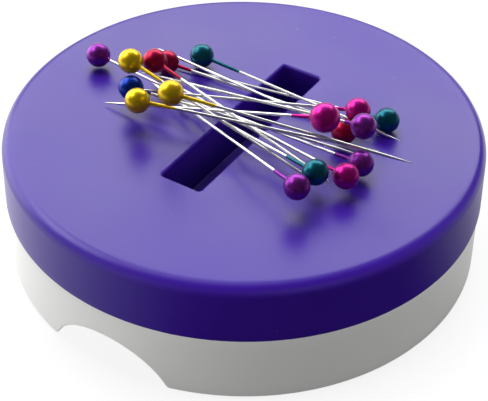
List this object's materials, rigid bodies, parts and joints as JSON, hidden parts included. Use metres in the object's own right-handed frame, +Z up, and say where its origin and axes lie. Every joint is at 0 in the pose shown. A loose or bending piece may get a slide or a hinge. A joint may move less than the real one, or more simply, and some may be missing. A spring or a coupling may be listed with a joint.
{
  "type": "magnetic pin bowl",
  "caption": "Round flat-topped magnetic pin holder with a finger well across the top, a base ring with finger arches, and loose pearl-headed pins.",
  "frame": {"origin": "on the table under the middle of the base", "axes": "+Z up, +Y along the finger well towards one arch of the base, +X across the well"},
  "size_m": [0.1, 0.1, 0.043],
  "materials": {
    "cap_purple": "soft satin moulding",
    "base_white": "smooth white moulding",
    "ferrite": "ground ferrite",
    "foam_pad": "adhesive foam",
    "steel_plate": "rolled sheet",
    "screw_steel": "zinc plated",
    "foot_rubber": "matt rubber",
    "pin_steel": "nickel-plated wire",
    "pearl_blue": "pearl lacquer",
    "pearl_crimson": "pearl lacquer",
    "pearl_magenta": "pearl lacquer",
    "pearl_teal": "pearl lacquer",
    "pearl_violet": "pearl lacquer",
    "pearl_yellow": "pearl lacquer"
  },
  "bodies": {
    "bowl": {"top_cap": "cap_purple", "base_shell": "base_white", "magnet_left": "ferrite", "magnet_right": "ferrite", "magnet_pad_left": "foam_pad", "magnet_pad_right": "foam_pad", "keeper_plate": "steel_plate", "case_screws": "screw_steel", "foot_1": "foot_rubber", "foot_2": "foot_rubber", "foot_3": "foot_rubber", "foot_4": "foot_rubber"},
    "pin_01": {"pin_01_shaft": "pin_steel", "pin_01_head": "pearl_violet"},
    "pin_02": {"pin_02_shaft": "pin_steel", "pin_02_head": "pearl_yellow"},
    "pin_03": {"pin_03_shaft": "pin_steel", "pin_03_head": "pearl_crimson"},
    "pin_04": {"pin_04_shaft": "pin_steel", "pin_04_head": "pearl_crimson"},
    "pin_05": {"pin_05_shaft": "pin_steel", "pin_05_head": "pearl_teal"},
    "pin_06": {"pin_06_shaft": "pin_steel", "pin_06_head": "pearl_blue"},
    "pin_07": {"pin_07_shaft": "pin_steel", "pin_07_head": "pearl_yellow"},
    "pin_08": {"pin_08_shaft": "pin_steel", "pin_08_head": "pearl_yellow"},
    "pin_09": {"pin_09_shaft": "pin_steel", "pin_09_head": "pearl_magenta"},
    "pin_10": {"pin_10_shaft": "pin_steel", "pin_10_head": "pearl_magenta"},
    "pin_11": {"pin_11_shaft": "pin_steel", "pin_11_head": "pearl_crimson"},
    "pin_12": {"pin_12_shaft": "pin_steel", "pin_12_head": "pearl_violet"},
    "pin_13": {"pin_13_shaft": "pin_steel", "pin_13_head": "pearl_teal"},
    "pin_14": {"pin_14_shaft": "pin_steel", "pin_14_head": "pearl_violet"},
    "pin_15": {"pin_15_shaft": "pin_steel", "pin_15_head": "pearl_magenta"},
    "pin_16": {"pin_16_shaft": "pin_steel", "pin_16_head": "pearl_teal"},
    "pin_17": {"pin_17_shaft": "pin_steel", "pin_17_head": "pearl_violet"}
  },
  "joints": [
    {"name": "pin_01_pull", "type": "slide", "parent": "bowl", "child": "pin_01", "axis": [-0.9967, 0.0784, 0.0227], "range_m": [0, 0.06]},
    {"name": "pin_02_pull", "type": "slide", "parent": "bowl", "child": "pin_02", "axis": [-0.9827, 0.112, 0.1478], "range_m": [0, 0.06]},
    {"name": "pin_03_pull", "type": "slide", "parent": "bowl", "child": "pin_03", "axis": [-0.9749, 0.2072, 0.0819], "range_m": [0, 0.06]},
    {"name": "pin_04_pull", "type": "slide", "parent": "bowl", "child": "pin_04", "axis": [-0.9944, -0.0957, 0.0454], "range_m": [0, 0.06]},
    {"name": "pin_05_pull", "type": "slide", "parent": "bowl", "child": "pin_05", "axis": [-0.9949, 0.0434, 0.0906], "range_m": [0, 0.06]},
    {"name": "pin_06_pull", "type": "slide", "parent": "bowl", "child": "pin_06", "axis": [-0.9801, -0.1905, 0.0558], "range_m": [0, 0.06]},
    {"name": "pin_07_pull", "type": "slide", "parent": "bowl", "child": "pin_07", "axis": [-0.9583, -0.2839, 0.0332], "range_m": [0, 0.06]},
    {"name": "pin_08_pull", "type": "slide", "parent": "bowl", "child": "pin_08", "axis": [-0.9759, -0.2074, 0.068], "range_m": [0, 0.06]},
    {"name": "pin_09_pull", "type": "slide", "parent": "bowl", "child": "pin_09", "axis": [0.9636, 0.1613, 0.213], "range_m": [0, 0.06]},
    {"name": "pin_10_pull", "type": "slide", "parent": "bowl", "child": "pin_10", "axis": [0.9303, 0.3113, 0.1942], "range_m": [0, 0.06]},
    {"name": "pin_11_pull", "type": "slide", "parent": "bowl", "child": "pin_11", "axis": [0.9943, -0.1045, 0.0209], "range_m": [0, 0.06]},
    {"name": "pin_12_pull", "type": "slide", "parent": "bowl", "child": "pin_12", "axis": [0.992, 0.113, 0.0558], "range_m": [0, 0.06]},
    {"name": "pin_13_pull", "type": "slide", "parent": "bowl", "child": "pin_13", "axis": [0.9934, 0.1044, 0.0471], "range_m": [0, 0.06]},
    {"name": "pin_14_pull", "type": "slide", "parent": "bowl", "child": "pin_14", "axis": [0.9961, -0.0609, 0.0645], "range_m": [0, 0.06]},
    {"name": "pin_15_pull", "type": "slide", "parent": "bowl", "child": "pin_15", "axis": [0.9807, -0.1906, 0.0436], "range_m": [0, 0.06]},
    {"name": "pin_16_pull", "type": "slide", "parent": "bowl", "child": "pin_16", "axis": [0.958, -0.2657, 0.108], "range_m": [0, 0.06]},
    {"name": "pin_17_pull", "type": "slide", "parent": "bowl", "child": "pin_17", "axis": [0.9258, -0.3647, 0.0993], "range_m": [0, 0.06]}
  ]
}
